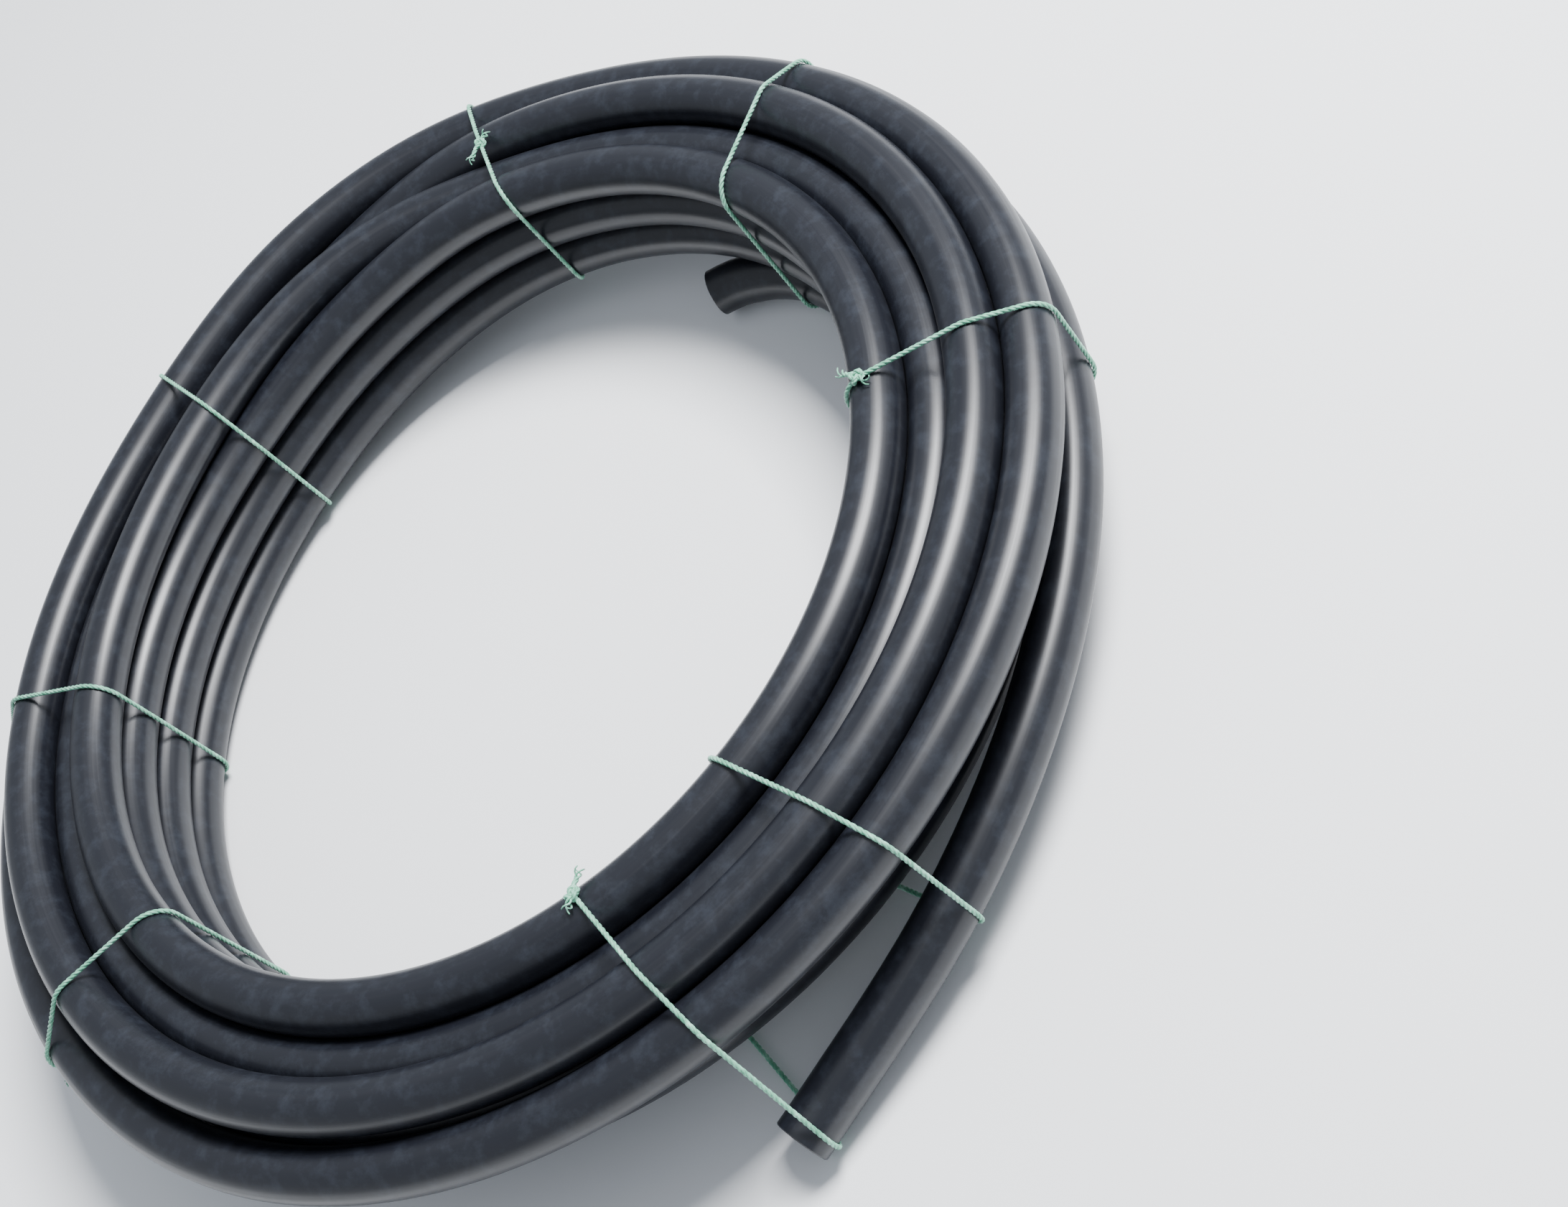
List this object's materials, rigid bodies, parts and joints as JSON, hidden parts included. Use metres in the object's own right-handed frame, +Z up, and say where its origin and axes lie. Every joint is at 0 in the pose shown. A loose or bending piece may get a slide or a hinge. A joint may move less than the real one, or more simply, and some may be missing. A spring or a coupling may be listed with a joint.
{
  "type": "coiled irrigation hose",
  "caption": "Coil of black polyethylene irrigation hose lying flat, held by knotted lengths of green baler twine, with one cut end laid against its outer side.",
  "frame": {"origin": "on the ground, at the centre of the coil", "axes": "+Z up, along the coil's axis; the face that shows all the knots is up, and the outer cut end lies at about 50 degrees from +X towards -Y"},
  "size_m": [0.771, 0.771, 0.1376],
  "materials": {
    "black_polyethylene": "semi-gloss black polyethylene, lightly scuffed",
    "green_twine": "twisted pale green polypropylene baler twine"
  },
  "bodies": {
    "root": {"hose_coil": "black_polyethylene", "hose_outer_end": "black_polyethylene", "hose_inner_end": "black_polyethylene", "tie_1": "green_twine", "tie_2": "green_twine", "tie_3": "green_twine", "tie_4": "green_twine", "tie_5": "green_twine", "tie_6": "green_twine", "tie_7": "green_twine", "tie_8": "green_twine", "tie_9": "green_twine"}
  },
  "joints": []
}
